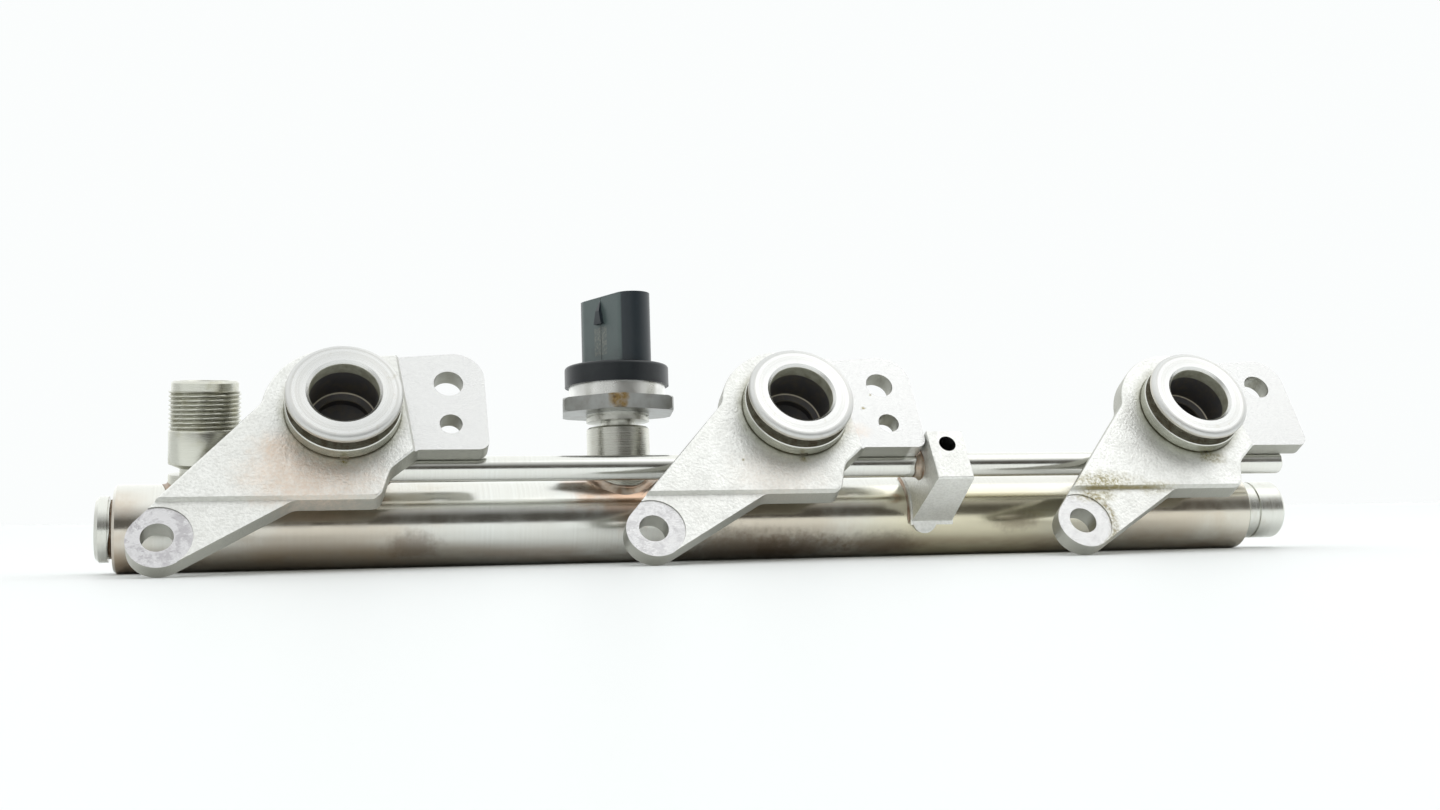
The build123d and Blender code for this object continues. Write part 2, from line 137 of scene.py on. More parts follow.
# ---- node graphs ---------------------------------------------------------------------------
class Graph:
    """Short names for the nodes of one material or world."""

    def __init__(self, name, library=bpy.data.materials):
        self.owner = library.new(name)
        self.owner.use_nodes = True
        self.tree = self.owner.node_tree
        self.coordinates = self.tree.nodes.new("ShaderNodeTexCoord").outputs
        self.place = self.coordinates["Object"]

    def put(self, socket, value):
        """Links a socket into another, or sets its plain value."""
        if isinstance(value, bpy.types.NodeSocket):
            self.tree.links.new(value, socket)
        else:
            socket.default_value = value

    def shader(self, **values):
        """Sets the main shader: Base_Color stands for its socket Base Color."""
        for key, value in values.items():
            if isinstance(value, tuple) and len(value) == 3:
                value = (*value, 1.0)
            self.put(self.tree.nodes["Principled BSDF"].inputs[key.replace("_", " ")], value)

    def math(self, operation, a, b=0.0):
        node = self.tree.nodes.new("ShaderNodeMath")
        node.operation = operation
        self.put(node.inputs[0], a)
        self.put(node.inputs[1], b)
        return node.outputs[0]

    def times(self, *factors):
        """Product of masks and numbers."""
        total = factors[0]
        for factor in factors[1:]:
            total = self.math("MULTIPLY", total, factor)
        return total

    def vector(self, operation, a, b=(0, 0, 0), out=0):
        node = self.tree.nodes.new("ShaderNodeVectorMath")
        node.operation = operation
        self.put(node.inputs[0], a)
        self.put(node.inputs[1], b)
        return node.outputs[out]

    def stretch(self, vector, scale):
        return self.vector("MULTIPLY", vector, scale)

    def local(self, matrix):
        """Coordinates in millimetres of a local frame."""
        location, rotation, _ = matrix.inverted().decompose()
        node = self.tree.nodes.new("ShaderNodeMapping")
        node.vector_type = "POINT"
        node.inputs["Location"].default_value = location
        node.inputs["Rotation"].default_value = rotation.to_euler()
        node.inputs["Scale"].default_value = (1 / MM,) * 3
        self.put(node.inputs["Vector"], self.place)
        return node.outputs[0]

    def split(self, vector):
        node = self.tree.nodes.new("ShaderNodeSeparateXYZ")
        self.put(node.inputs[0], vector)
        return node.outputs["X"], node.outputs["Y"], node.outputs["Z"]

    def join(self, x, y, z):
        node = self.tree.nodes.new("ShaderNodeCombineXYZ")
        for socket, value in zip(node.inputs, (x, y, z)):
            self.put(socket, value)
        return node.outputs[0]

    def radius(self, local):
        """Distance from a local frame's z axis."""
        x, y, _ = self.split(local)
        return self.math("SQRT", self.math("ADD", self.times(x, x), self.times(y, y)))

    def noise(self, vector, scale, detail=3.0, rough=0.55, distortion=0.0):
        node = self.tree.nodes.new("ShaderNodeTexNoise")
        self.put(node.inputs["Vector"], vector)
        node.inputs["Scale"].default_value = scale
        node.inputs["Detail"].default_value = detail
        node.inputs["Roughness"].default_value = rough
        node.inputs["Distortion"].default_value = distortion
        return node.outputs["Fac"]

    def remap(self, value, low, high, to_low=0.0, to_high=1.0, smooth=True):
        """Carries low..high to to_low..to_high, held at both ends."""
        node = self.tree.nodes.new("ShaderNodeMapRange")
        node.interpolation_type = "SMOOTHSTEP" if smooth else "LINEAR"
        limits = (("From Min", low), ("From Max", high), ("To Min", to_low), ("To Max", to_high))
        for key, item in (("Value", value), *limits):
            self.put(node.inputs[key], item)
        return node.outputs[0]

    def mix(self, fac, a, b):
        """Mixes two colours."""
        node = self.tree.nodes.new("ShaderNodeMix")
        node.data_type = "RGBA"
        self.put(node.inputs["Factor"], fac)
        sockets = [item for item in node.inputs if item.type == "RGBA"]
        for socket, value in zip(sockets, (a, b)):
            self.put(socket, (*value, 1.0) if isinstance(value, tuple) else value)
        return [item for item in node.outputs if item.type == "RGBA"][0]

    def mix_value(self, fac, a, b):
        """Mixes two numbers."""
        node = self.tree.nodes.new("ShaderNodeMix")
        for key, value in (("Factor", fac), ("A", a), ("B", b)):
            self.put(node.inputs[key], value)
        return node.outputs["Result"]

    def blob(self, centre, radius, soft, wobble=None, squash=(1, 1, 1)):
        """1 inside a rough spot round a point of the rail, 0 outside."""
        point = (Vector(centre) + AXIS_SHIFT) * MM
        offset = self.vector("SUBTRACT", self.place, tuple(point))
        offset = self.stretch(offset, tuple(1 / (MM * k) for k in squash))
        distance = self.vector("LENGTH", offset, out=1)
        if wobble is not None:      # a noise that makes the rim ragged
            shift = self.times(self.math("SUBTRACT", wobble, 0.5), radius * 1.6)
            distance = self.math("ADD", distance, shift)
        return self.remap(distance, radius + soft, max(radius - soft, 0.0))

    def between(self, value, low, high, soft=0.08):
        """1 where a value lies between two limits."""
        rise = self.remap(value, low - soft, low + soft)
        fall = self.remap(value, high - soft, high + soft, 1.0, 0.0)
        return self.times(rise, fall)

    def facing(self, direction, low, high):
        """1 on faces that look along a direction of the row frame."""
        normal = self.tree.nodes.new("ShaderNodeNewGeometry").outputs["Normal"]
        along = self.vector("DOT_PRODUCT", normal, tuple(direction), out=1)
        return self.remap(along, low, high)

    def bump(self, height, strength, distance):
        """Fine relief; the distance is in metres."""
        node = self.tree.nodes.new("ShaderNodeBump")
        node.inputs["Strength"].default_value = strength
        node.inputs["Distance"].default_value = distance
        self.put(node.inputs["Height"], height)
        return node.outputs[0]


# ---- materials -----------------------------------------------------------------------------
# Stains on the tube: place (x, y, z from the tube axis), radius, strength, stretch of x, y, z.
TUBE_STAINS = (
    ((16.2, -8.6, -5.2), 3.4, 0.55, (1.6, 1, 1)),
    ((94.9, -6.5, -7.6), 5.0, 0.6, (3.4, 1, 1)),
    ((110.2, -6.7, -7.4), 4.0, 0.6, (2.6, 1, 1)),
    ((130.9, -7.0, -7.1), 3.5, 0.5, (2.6, 1, 1)),
    ((166.3, -9.9, -1.5), 2.4, 0.45, (2.2, 1, 1)),
    ((84.0, -10.0, 0.0), 3.0, 0.25, (3.0, 1, 1)),
)
# Pale brown furnace tints on the plates: place (x, s, n), radius, strength.
HEAT_TINTS = (
    ((-5.0, -4.5, PLATE_FRONT), 7.0, 0.75),
    ((-13.0, 3.0, PLATE_FRONT), 3.5, 0.8),
    ((-14.0, -4.0, PLATE_FRONT), 5.0, 0.5),
    ((98.5, -5.0, PLATE_FRONT), 6.0, 0.28),
    ((121.0, 8.0, MOUNT_FACE), 2.0, 0.4),
)
# Oil stains on the plates: place (x, s, n), radius, strength, stretch of x, y, z.
PLATE_STAINS = (
    ((182.0, -8.0, PLATE_FRONT), 2.2, 0.9, (3.2, 1.2, 1)),
    ((179.0, -11.5, MOUNT_FACE), 1.8, 0.7, (2.6, 0.9, 1)),
    ((124.4, 14.6, MOUNT_FACE), 0.4, 0.9, (1.4, 1, 1)),
    ((120.2, 25.8, MOUNT_FACE), 0.35, 0.9, (1, 1.6, 1)),
    ((127.0, 18.5, MOUNT_FACE), 0.3, 0.8, (1, 1, 1)),
    ((91.0, -1.0, PLATE_FRONT), 0.35, 0.8, (1, 1, 1)),
    ((196.0, -9.9, PLATE_FRONT), 1.5, 0.55, (3.4, 0.9, 1)),
    ((214.4, -1.4, PLATE_FRONT), 1.7, 0.7, (1.8, 1, 1)),
    ((0.0, -0.9, PLATE_FRONT), 0.85, 1.0, (1.0, 1.8, 1)),
    ((106.0, -0.9, PLATE_FRONT), 0.7, 0.7, (1.3, 1.3, 1)),
    ((212.0, -0.9, PLATE_FRONT), 0.7, 0.7, (1.3, 1.5, 1)),
)
# Rust on the sensor's hex: place in the sensor's upright frame, radius.
RUST_SPOTS = (
    ((-3.3, -15.0, 27.9), 1.9),
    ((-1.2, -15.0, 28.7), 1.3),
    ((-1.5, -15.0, 26.9), 1.2),
    ((-4.4, -14.6, 29.4), 1.2),
)
EYE_WEAR = {CUPS[0]: 0.5, CUPS[1]: 0.28, CUPS[2]: 0.12}     # how dull each milled eye is
EYE_EDGE = (7.4, 7.1)                                       # rim of the spot face, soft to full
EYE_WORN = (3.6, 7.2)                                       # ring where a bolt's head rubbed
OIL_BROWN = (0.17, 0.12, 0.08)
UNDERSIDE = (0.0, -0.45, -0.89)                             # forward and down


def tube_steel(name, stained=True):
    """Drawn stainless tube: fine drawing and cleaning marks, furnace tints, old oil and painted
    shade underneath.
    """
    g = Graph(name)
    _, _, along = g.split(g.local(tube_frame(0.0)))
    rings = g.noise(g.join(along, 0.0, 0.0), 1.7, 4.0, 0.7)
    wide = g.noise(g.place, 26.0, 3.0)
    fine = g.noise(g.stretch(g.place, (1.0, 0.3, 0.3)), 1500.0, 3.0)
    cloud = g.noise(g.place, 150.0, 4.0, 0.6)
    small = g.noise(g.place, 420.0, 5.0, 0.65)
    colour = g.mix(g.remap(wide, 0.35, 0.65), (0.715, 0.725, 0.695), (0.69, 0.685, 0.64))
    colour = g.mix(g.remap(rings, 0.35, 0.75, 0.0, 0.2), colour, (0.46, 0.44, 0.37))
    if stained:
        # olive film on the front, strongest between the last two brackets
        away = g.math("SUBTRACT", g.math("ADD", along, g.times(wide, 24.0)), 168.0)
        near = g.remap(g.math("ABSOLUTE", away), 12.0, 40.0, 0.62, 0.0)
        olive = g.math("ADD", near, g.remap(along, 40.0, 120.0, 0.0, 0.2))
        olive = g.times(olive, g.facing((0.0, -0.9, -0.4), 0.15, 0.6))
        colour = g.mix(olive, colour, (0.65, 0.60, 0.43))
        # painted shade underneath: brown patches, partly real stains, and an even brown shade under
        # the left part
        under = g.facing(UNDERSIDE, 0.80, 0.97)
        patchy = g.noise(g.stretch(g.place, (1.0, 2.5, 2.5)), 42.0, 4.0, 0.6)
        stains_and_shade_under = g.times(under, g.remap(patchy, 0.38, 0.66), 0.5)
        colour = g.mix(stains_and_shade_under, colour, (0.36, 0.25, 0.17))
        shade = g.times(g.facing(UNDERSIDE, 0.70, 0.92), g.remap(along, 50.0, 22.0), 0.6)
        colour = g.mix(shade, colour, (0.34, 0.29, 0.22))
        # furnace tints at the sensor's boss, the cups and the tube's ends
        copper = g.blob((SENSOR_X - 0.5, -5.5, 8.2), 9.5, 5.0, cloud, (1.25, 1, 0.8))
        colour = g.mix(g.times(copper, 0.75), colour, (0.50, 0.28, 0.15))
        for x in CUPS:
            tint = g.blob(at_plate(x - 4.0, -3.0, 9.0), 13.0, 8.0, cloud, (1.5, 1, 1))
            colour = g.mix(g.times(tint, 0.45), colour, (0.45, 0.34, 0.22))
        for x, amount in ((TUBE_LEFT, 0.6), (TUBE_RIGHT, 0.2)):
            away = g.math("ABSOLUTE", g.math("SUBTRACT", along, x))
            heat = g.times(g.remap(away, 0.0, 11.0, amount, 0.0),
                           g.facing((0.0, -0.95, -0.3), 0.1, 0.6),
                           g.remap(cloud, 0.3, 0.7, 0.4, 1.0))
            colour = g.mix(heat, colour, (0.50, 0.38, 0.27))
        for centre, radius, amount, stretch in TUBE_STAINS:
            spot = g.blob(centre, radius, radius * 0.6, small, stretch)
            colour = g.mix(g.times(spot, amount), colour, OIL_BROWN)
    height = g.math("ADD", g.times(rings, 0.35), fine)
    g.shader(Base_Color=colour, Metallic=1.0, Roughness=g.remap(cloud, 0.3, 0.7, 0.15, 0.23),
             Normal=g.bump(height, 0.2, 0.00004))
    return g.owner


def cast_steel():
    """Fine cast stainless, blasted, with painted shade on its sides, in the lug's hole and round
    the cups' collars; the pads that bolt down are milled.
    """
    g = Graph("cast_steel")
    local = g.local(plate_frame(0.0))
    along, _, out = g.split(local)
    grain = g.noise(g.place, 1500.0, 3.0, 0.6)
    lumps = g.noise(g.place, 260.0, 4.0, 0.6)
    wide = g.noise(g.place, 45.0, 3.0)
    small = g.noise(g.place, 420.0, 5.0, 0.65)
    speckle = g.remap(g.noise(g.place, 1300.0, 4.0, 0.7), 0.38, 0.62, 0.15, 1.0)
    colour = g.mix(g.remap(wide, 0.3, 0.7), (0.84, 0.845, 0.82), (0.775, 0.775, 0.745))
    colour = g.mix(g.remap(grain, 0.38, 0.66, 0.0, 0.5), colour, (0.63, 0.63, 0.60))
    # painted shade: edges and sides are darker than the faces, except on the lug
    beside_lug = g.math("SUBTRACT", 1.0, g.between(along, LUG_X - 9.0, LUG_X + 9.0, 0.5))
    painted_side_shade = g.times(g.facing(FACE, 0.75, 0.2), beside_lug)
    colour = g.mix(painted_side_shade, colour, (0.385, 0.385, 0.345))
    # painted shade: the lug's hole is dark inside
    hole = g.radius(g.local(plate_frame(LUG_X, LUG_HOLE_S)))
    colour = g.mix(g.remap(hole, 2.2, 2.05), colour, (0.03, 0.03, 0.035))
    # milled faces: smoother, with long fine scratches
    at_face = g.between(out, MOUNT_FACE - 0.1, MOUNT_FACE + 0.1, 0.03)
    milled = g.times(g.facing(FACE, 0.97, 0.995), at_face)
    scratch = g.noise(g.stretch(local, (1.2, 9.0, 1.0)), 0.9, 5.0, 0.75, 0.6)
    bare = g.mix(g.remap(scratch, 0.4, 0.75, 0.0, 0.5), (0.70, 0.70, 0.69), (0.54, 0.54, 0.55))
    colour = g.mix(milled, colour, bare)
    streaks = g.noise(g.stretch(local, (2.2, 5.0, 1.0)), 0.55, 6.0, 0.75, 1.5)
    worn_marks = g.math("ADD", g.times(small, 0.6), g.times(streaks, 0.4))
    for x in CUPS:
        # painted shade in the corner round the cup's collar, mottled, and a thin dark line of old
        # oil at its foot
        around = g.radius(g.local(plate_frame(x, CUP_S)))
        corner = g.times(g.remap(around, 12.7, 15.4, 1.0, 0.0), g.remap(small, 0.3, 0.7, 0.5, 1.0))
        colour = g.mix(g.times(corner, 0.75), colour, (0.34, 0.335, 0.26))
        close = g.remap(around, 12.85, 13.25, 1.0, 0.0)
        colour = g.mix(g.times(close, 0.8), colour, (0.12, 0.115, 0.07))
        # spot face round the bolt hole
        eye = g.radius(g.local(plate_frame(x + EYE[0], EYE[1])))
        dull = EYE_WEAR[x]
        worn = g.times(milled, g.between(eye, *EYE_WORN, 0.5), g.remap(worn_marks, 0.47, 0.57))
        spot_face = g.times(milled, g.remap(eye, *EYE_EDGE), dull)
        colour = g.mix(spot_face, colour, (0.60, 0.585, 0.61))
        colour = g.mix(g.times(worn, dull * 1.4), colour, (0.40, 0.385, 0.40))
    for centre, radius, amount in HEAT_TINTS:
        tint = g.blob(at_plate(*centre), radius, radius * 0.8, small, (1.5, 1, 1))
        tint = g.times(tint, g.remap(speckle, 0.15, 1.0, 0.6, 1.0), amount)
        colour = g.mix(tint, colour, (0.70, 0.575, 0.47))
    for centre, radius, amount, stretch in PLATE_STAINS:
        spot = g.blob(at_plate(*centre), radius, radius * 0.7, small, stretch)
        stain = g.mix(speckle, (0.42, 0.385, 0.20), (0.25, 0.21, 0.08))
        colour = g.mix(g.times(spot, speckle, amount), colour, stain)
    # oil on the last bracket: an arc beside the eye and a run along the plate's fold
    last = CUPS[-1]
    ring = g.radius(g.local(plate_frame(last + EYE[0], EYE[1])))
    side, above, _ = g.split(g.local(plate_frame(last)))
    arc = g.times(g.between(ring, 7.2, 9.0, 0.7),
                  g.remap(side, EYE[0] + 1.0, EYE[0] + 4.0), speckle)
    fold = g.times(g.between(above, -9.9, -9.3, 0.3), g.between(side, -36.0, -16.0, 3.0),
                   g.remap(small, 0.3, 0.5))
    oil = g.times(g.math("MAXIMUM", arc, fold), g.remap(side, -45.0, -44.0), 0.85)
    colour = g.mix(oil, colour, (0.22, 0.18, 0.07))
    rough = g.remap(milled, 0.0, 1.0, g.remap(lumps, 0.3, 0.7, 0.38, 0.48), 0.27)
    pits = g.math("ADD", grain, g.times(lumps, 0.6))
    height = g.math("ADD", g.times(pits, g.remap(milled, 0.0, 1.0, 1.0, 0.15)),
                    g.times(scratch, g.times(milled, 0.5)))
    g.shader(Base_Color=colour, Metallic=1.0, Roughness=rough,
             Normal=g.bump(height, 0.7, 0.00018))
    return g.owner


def turned_steel(name, matrix, colour=(0.76, 0.75, 0.72), dark=(0.5, 0.46, 0.38), root=None):
    """Turned steel, with its tool marks round an axis and painted shade below a thread's root
    radius.
    """
    g = Graph(name)
    local = g.local(matrix)
    radius = g.radius(local)
    _, _, height = g.split(local)
    marks = g.noise(g.join(radius, height, 0.0), 9.0, 3.0, 0.7)
    stain = g.remap(g.noise(g.place, 240.0, 4.0, 0.6), 0.5, 0.72, 0.0, 0.4)
    paint = g.mix(stain, colour, dark)
    if root is not None:
        # painted shade: darker below the thread's root radius
        root_shade = g.times(g.remap(radius, root + 0.5, root),
                       g.between(height, THREAD_LOW, THREAD_HIGH, 0.1), 0.35)
        paint = g.mix(root_shade, paint, (0.16, 0.15, 0.10))
    g.shader(Base_Color=paint, Metallic=1.0, Roughness=g.remap(marks, 0.3, 0.7, 0.18, 0.32),
             Normal=g.bump(marks, 0.35, 0.00005))
    return g.owner


def cup_steel(name, x):
    """Turned cup: bright lip with a painted sheen, groove dark with oil and painted shade, bore
    black deeper in.

    Its bands are radii from the cup's axis and heights n out from the tube's.
    """
    g = Graph(name)
    local = g.local(plate_frame(x, CUP_S))
    side, up, out = g.split(local)
    radius = g.radius(local)
    marks = g.noise(g.join(radius, out, 0.0), 7.0, 3.0, 0.7)
    bands = g.noise(g.join(radius, out, 0.0), 1.6, 3.0, 0.6)
    small = g.noise(g.place, 500.0, 5.0, 0.65)
    # painted sheen: sectors round the cup's axis darker, as a radial highlight of the turned faces
    turn = g.math("ARCTAN2", up, side)
    painted_sheen = g.math("SINE", g.math("ADD", g.times(turn, 2.0), 0.6))
    colour = g.mix(g.remap(bands, 0.35, 0.7), (0.70, 0.70, 0.685), (0.60, 0.595, 0.57))
    colour = g.mix(g.remap(painted_sheen, -1.0, 1.0, 0.3, 0.0), colour, (0.46, 0.47, 0.47))
    colour = g.mix(g.remap(small, 0.58, 0.75, 0.0, 0.35), colour, (0.42, 0.39, 0.30))
    # outside, from the lip down: rim, groove dark with oil and painted shade, collar's side with a
    # painted reflection, dirt at the plate
    outer = g.remap(radius, 12.3, 12.7)
    rim = g.times(outer, g.between(out, 34.35, 35.0, 0.1))
    colour = g.mix(g.times(rim, 0.5), colour, (0.58, 0.53, 0.42))
    # painted reflection: the collar's side darker olive
    collar = g.times(g.between(out, 27.6, 31.0), outer)
    colour = g.mix(g.times(collar, 0.75), colour, (0.42, 0.43, 0.35))
    # the groove and the annulus under the lip: dark with oil and painted shade
    groove = g.times(g.between(out, 31.1, 34.3, 0.06), g.remap(radius, 12.75, 12.6),
                     g.remap(radius, 8.6, 8.8))
    oil_and_shade = g.mix(g.remap(small, 0.4, 0.65), (0.215, 0.205, 0.155), (0.13, 0.11, 0.07))
    colour = g.mix(groove, colour, oil_and_shade)
    ragged = g.math("SUBTRACT", out, g.times(small, 0.5))
    dirt = g.times(g.between(ragged, 27.4, 28.25, 0.12), outer)
    colour = g.mix(g.times(dirt, 0.9), colour, (0.09, 0.085, 0.05))
    # painted highlight: a near-white spot on the notch at the collar's foot
    painted_notch_glint = g.times(g.remap(g.math("ABSOLUTE", side), 1.0, 0.8), g.remap(up, -11.5, -12.0),
                    g.remap(out, 29.05, 28.95))
    colour = g.mix(painted_notch_glint, colour, (0.92, 0.92, 0.88))
    # bore: paler near its mouth, black deeper in, with painted highlights on two edges
    inside = g.times(g.remap(radius, 8.5, 8.4), g.remap(out, 35.25, 35.1),
                     g.remap(out, 18.8, 19.2))
    pale = g.mix(g.remap(small, 0.35, 0.7), (0.42, 0.42, 0.34), (0.28, 0.27, 0.20))
    edge = g.math("ADD", out, g.times(g.math("SUBTRACT", small, 0.5), 0.35))
    dark_deep = g.times(inside, g.remap(edge, 32.2, 31.9))
    black = g.mix(g.remap(small, 0.4, 0.7), (0.085, 0.082, 0.086), (0.12, 0.105, 0.085))
    colour = g.mix(inside, colour, pale)
    colour = g.mix(dark_deep, colour, black)
    painted_edge_glint = g.times(g.between(radius, 7.42, 7.68, 0.05), g.between(out, 23.9, 24.45, 0.06))
    colour = g.mix(painted_edge_glint, colour, (0.72, 0.66, 0.52))
    painted_second_glint = g.times(g.between(radius, 6.15, 6.34, 0.04), g.between(out, 23.0, 23.45, 0.06))
    colour = g.mix(g.times(painted_second_glint, 0.6), colour, (0.40, 0.36, 0.28))
    # the bore and the groove are less metallic, and the lip's round edge is duller
    less_metal = g.math("MAXIMUM", g.times(inside, 0.85), g.times(groove, 0.75))
    rough = g.mix_value(inside, g.remap(marks, 0.3, 0.7, 0.2, 0.32), 0.42)
    edge_round = g.times(g.remap(radius, 11.3, 11.8), g.remap(out, 34.4, 34.5))
    g.shader(Base_Color=colour, Metallic=g.math("SUBTRACT", 1.0, less_metal),
             Roughness=g.mix_value(edge_round, rough, 0.5), Normal=g.bump(marks, 0.35, 0.00005))
    return g.owner


def plain_metal(name, colour, rough):
    g = Graph(name)
    cloud = g.noise(g.place, 220.0, 4.0)
    paint = g.mix(g.remap(cloud, 0.4, 0.7, 0.0, 0.3), colour, tuple(k * 0.7 for k in colour))
    g.shader(Base_Color=paint, Metallic=1.0,
             Roughness=g.remap(cloud, 0.3, 0.7, rough - 0.05, rough + 0.08),
             Normal=g.bump(g.noise(g.place, 1800.0), 0.12, 0.00004))
    return g.owner


def sensor_steel():
    """Grey sensor body, brighter below its hex, with rust on the hex's front."""
    g = Graph("sensor_steel")
    cloud = g.noise(g.place, 300.0, 4.0)
    colour = g.mix(g.remap(cloud, 0.35, 0.7), (0.36, 0.37, 0.36), (0.29, 0.29, 0.275))
    post = radial_frame(SENSOR_X, SENSOR_LEAN)
    _, _, height = g.split(g.local(post))
    colour = g.mix(g.remap(height, HEX_BOTTOM, HEX_BOTTOM - 0.15), colour, (0.66, 0.66, 0.61))
    small = g.noise(g.place, 900.0, 5.0, 0.65)
    rust = None
    for spot, radius in RUST_SPOTS:
        patch = g.blob((post @ Vector(spot)) / MM - AXIS_SHIFT, radius, radius * 0.45, small)
        rust = patch if rust is None else g.math("MAXIMUM", rust, patch)
    colour = g.mix(g.times(rust, g.remap(small, 0.35, 0.6, 0.6, 1.0)), colour, (0.25, 0.16, 0.05))
    colour = g.mix(g.times(rust, g.remap(small, 0.55, 0.68)), colour, (0.10, 0.06, 0.03))
    g.shader(Base_Color=colour, Metallic=g.remap(rust, 0.2, 1.0, 1.0, 0.4),
             Roughness=g.remap(rust, 0.0, 1.0, 0.34, 0.7), Normal=g.bump(cloud, 0.2, 0.00006))
    return g.owner


def plastic(name, colour, rough):
    g = Graph(name)
    cloud = g.noise(g.place, 120.0, 3.0)
    paint = g.mix(g.remap(cloud, 0.4, 0.8, 0.0, 0.5), colour, tuple(k * 1.7 for k in colour))
    g.shader(Base_Color=paint, Roughness=rough,
             Normal=g.bump(g.noise(g.place, 2200.0), 0.25, 0.00003))
    return g.owner


def housing_plastic():
    """Black glass-filled plastic, with its flat wall on the latch side painted lighter as lit, and
    the bare field of a laser mark on it.
    """
    g = Graph("housing_plastic")
    across, inward, height = g.split(g.local(SOCKET_FRAME))
    cloud = g.noise(g.place, 160.0, 4.0)
    small = g.noise(g.place, 1500.0, 4.0, 0.7)
    colour = g.mix(g.remap(height, 37.6, 37.9), (0.005, 0.008, 0.011), (0.016, 0.024, 0.03))
    # painted light: the latch side's flat wall lighter, as where light falls on it
    flat = g.times(g.between(inward, SOCKET_WALL - 0.25, SOCKET_WALL + 0.15, 0.1),
                   g.remap(height, 38.1, 38.5))
    colour = g.mix(g.times(flat, 0.8), colour, (0.10, 0.135, 0.13))
    field = g.times(flat, g.between(across, -2.7, 2.3, 0.15), g.between(height, 40.4, 47.3, 0.15))
    speckled = g.times(field, g.remap(small, 0.4, 0.62, 0.1, 0.7))
    colour = g.mix(speckled, colour, (0.22, 0.22, 0.19))
    colour = g.mix(g.remap(cloud, 0.45, 0.75, 0.0, 0.3), colour, (0.03, 0.036, 0.038))
    g.shader(Base_Color=colour, Roughness=g.remap(field, 0.0, 1.0, 0.36, 0.5),
             Normal=g.bump(g.noise(g.place, 2200.0), 0.25, 0.00003))
    return g.owner


def braze():
    """Copper braze, dulled and browned by the furnace."""
    g = Graph("braze")
    cloud = g.noise(g.place, 420.0, 4.0)
    colour = g.mix(g.remap(cloud, 0.35, 0.7), (0.30, 0.21, 0.15), (0.46, 0.40, 0.33))
    g.shader(Base_Color=colour, Metallic=1.0, Roughness=g.remap(cloud, 0.3, 0.7, 0.3, 0.5),
             Normal=g.bump(cloud, 0.4, 0.0001))
    return g.owner


def dress(node, material):
    """Gives a CAD node its material."""
    for slot in nodes[node].material_slots:
        slot.material = material


cast = cast_steel()
rail_metal = tube_steel("tube_steel")
dress("stiffener_tube", tube_steel("stiffener_steel", stained=False))
for number, x in enumerate(CUPS, 1):
    dress(f"bracket_{number}", cast)
    dress(f"injector_cup_{number}", cup_steel(f"turned_cup_{number}", x))
dress("support_lug", cast)
plug_metal = turned_steel("turned_plug", tube_frame(0.0), (0.67, 0.675, 0.63))
dress("end_plug_left", plug_metal)
dress("end_plug_right", plug_metal)
sensor_frame = radial_frame(SENSOR_X, SENSOR_LEAN)
inlet_frame = radial_frame(INLET_X, INLET_LEAN)
dress("sensor_boss", turned_steel("turned_boss", sensor_frame, (0.60, 0.60, 0.545)))
fitting_metal = turned_steel("fitting_steel", inlet_frame, (0.56, 0.56, 0.50),
                             (0.34, 0.32, 0.19), FITTING_R - THREAD_DEPTH)
dress("inlet_fitting", fitting_metal)
dress("sensor_body", sensor_steel())
dress("sensor_element", plain_metal("cell_steel", (0.6, 0.6, 0.6), 0.3))
dress("sensor_sleeve", plain_metal("sleeve_steel", (0.80, 0.80, 0.77), 0.3))
dress("sensor_seal", plastic("seal_rubber", (0.02, 0.02, 0.02), 0.6))
dress("sensor_circuit_board", plastic("board_green", (0.02, 0.11, 0.05), 0.5))
contact_metal = plain_metal("contact_metal", (0.82, 0.68, 0.38), 0.25)
dress("sensor_contact_springs", contact_metal)
dress("sensor_terminals", contact_metal)
housing = housing_plastic()
dress("sensor_housing", housing)
braze_metal = braze()


# ---- pieces made here ----------------------------------------------------------------------
def face_out(mesh):
    """Turns the faces of a closed mesh outward."""
    shape = bmesh.new()
    shape.from_mesh(mesh)
    bmesh.ops.recalc_face_normals(shape, faces=shape.faces)
    shape.to_mesh(mesh)
    shape.free()


def mesh_piece(name, points, faces, matrix, material, smooth=True):
    """A piece from points in mm of a local frame."""
    mesh = bpy.data.meshes.new(name)
    mesh.from_pydata([matrix @ Vector(point) for point in points], [], faces)
    face_out(mesh)
    for polygon in mesh.polygons:
        polygon.use_smooth = smooth
    mesh.materials.append(material)
    piece = bpy.data.objects.new(name, mesh)
    scene.collection.objects.link(piece)
    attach(piece, "root")
    return piece


def circle(columns):
    """Angles of evenly spaced columns round an axis, in radians."""
    return [2 * math.pi * column / columns for column in range(columns)]


def grid_faces(rows, columns, closed=True):
    """Faces of a body whose every column is a loop of its section.

    The columns close in a ring, or else the first and last are capped.
    """
    faces = []
    for row in range(rows):
        below = (row + 1) % rows
        for column in range(columns if closed else columns - 1):
            after = (column + 1) % columns
            faces.append((row * columns + column, row * columns + after,
                          below * columns + after, below * columns + column))
    if not closed:
        faces.append([row * columns for row in range(rows)])
        faces.append([row * columns + columns - 1 for row in reversed(range(rows))])
    return faces


def prism_faces(sides, start=0):
    """Side faces between two rings of points that follow each other in the list."""
    return [(start + k, start + k + sides, start + (k + 1) % sides + sides, start + (k + 1) % sides)
            for k in range(sides)]


def sharpen(piece, degrees=35.0):
    """Keeps real corners crisp on a smooth piece."""
    piece.data.set_sharp_from_angle(angle=math.radians(degrees))


